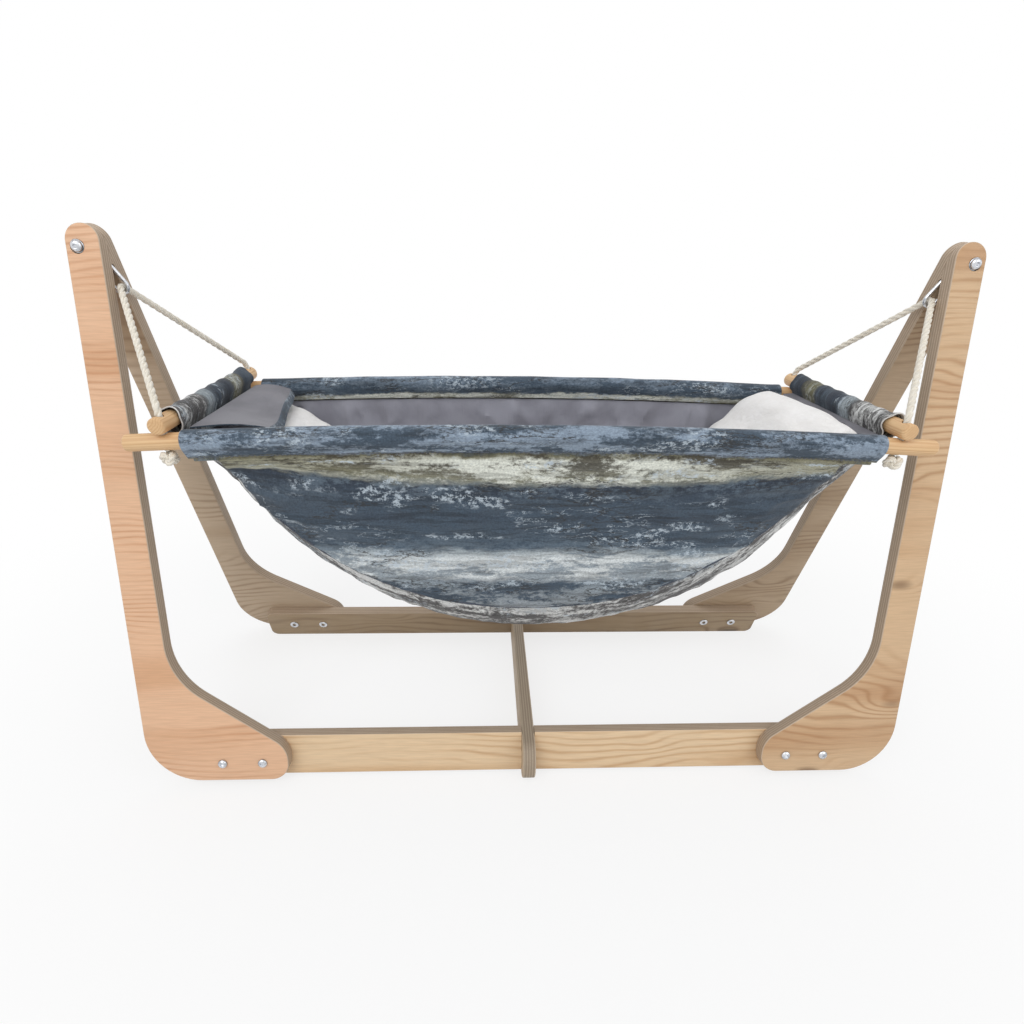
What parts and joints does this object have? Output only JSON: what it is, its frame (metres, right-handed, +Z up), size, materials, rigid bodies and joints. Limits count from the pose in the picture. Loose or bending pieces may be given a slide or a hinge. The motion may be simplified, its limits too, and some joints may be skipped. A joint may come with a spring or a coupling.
{
  "type": "cat hammock",
  "caption": "Cat hammock with a swinging cloth sling and plush mat, hung by ropes from a leaning plywood stand.",
  "frame": {"origin": "centre of the footprint on the floor, z = 0 under the rails", "axes": "+X to the right along the hammock, +Y from front to rear, +Z up"},
  "size_m": [0.8826, 0.32, 0.5783],
  "materials": {
    "leg_ply_pinkish": "pinkish plywood face, lacquered",
    "leg_ply_tan": "tan plywood face, lacquered",
    "ply_shaded": "grey-tan plywood, lacquered",
    "rail_ply": "pale plywood, lacquered",
    "dowel_wood": "satin beech dowel",
    "bright_steel": "bright zinc-plated steel",
    "cotton_rope": "twisted off-white cotton",
    "printed_cloth": "navy and pale printed cloth",
    "mottled_cloth": "pale grey mottled printed cloth",
    "grey_lining": "matt grey cloth",
    "white_plush": "short white plush"
  },
  "bodies": {
    "stand": {"apex_bolt_left": "bright_steel", "apex_bolt_right": "bright_steel", "apex_cap_nut_left": "bright_steel", "apex_cap_nut_right": "bright_steel", "apex_washer_front_left": "bright_steel", "apex_washer_front_right": "bright_steel", "apex_washer_rear_left": "bright_steel", "apex_washer_rear_right": "bright_steel", "cross_brace": "rail_ply", "foot_bolt_front_left_inner": "bright_steel", "foot_bolt_front_left_outer": "bright_steel", "foot_bolt_front_right_inner": "bright_steel", "foot_bolt_front_right_outer": "bright_steel", "foot_bolt_rear_left_inner": "bright_steel", "foot_bolt_rear_left_outer": "bright_steel", "foot_bolt_rear_right_inner": "bright_steel", "foot_bolt_rear_right_outer": "bright_steel", "hanging_link_left": "bright_steel", "hanging_link_right": "bright_steel", "leg_front_left": "leg_ply_pinkish", "leg_front_right": "leg_ply_tan", "leg_rear_left": "ply_shaded", "leg_rear_right": "ply_shaded", "rail_front": "rail_ply", "rail_rear": "ply_shaded", "sleeve_nut_front_left_inner": "bright_steel", "sleeve_nut_front_left_outer": "bright_steel", "sleeve_nut_front_right_inner": "bright_steel", "sleeve_nut_front_right_outer": "bright_steel", "sleeve_nut_rear_left_inner": "bright_steel", "sleeve_nut_rear_left_outer": "bright_steel", "sleeve_nut_rear_right_inner": "bright_steel", "sleeve_nut_rear_right_outer": "bright_steel"},
    "hammock": {"belly_strip": "mottled_cloth", "dowel_front": "dowel_wood", "dowel_left": "dowel_wood", "dowel_rear": "dowel_wood", "dowel_right": "dowel_wood", "lining": "grey_lining", "plush_mat": "white_plush", "rope_knot_front_left": "cotton_rope", "rope_knot_front_right": "cotton_rope", "rope_knot_rear_left": "cotton_rope", "rope_knot_rear_right": "cotton_rope", "rope_left": "cotton_rope", "rope_right": "cotton_rope", "side_panel_front": "printed_cloth", "side_panel_rear": "printed_cloth", "sleeve_front": "printed_cloth", "sleeve_left": "printed_cloth", "sleeve_rear": "printed_cloth", "sleeve_right": "printed_cloth"}
  },
  "joints": [
    {"name": "swing", "type": "hinge", "parent": "stand", "child": "hammock", "pos_m": [0, 0, 0.51928], "axis": [1, 0, 0], "range_deg": [-30, 30]}
  ]
}
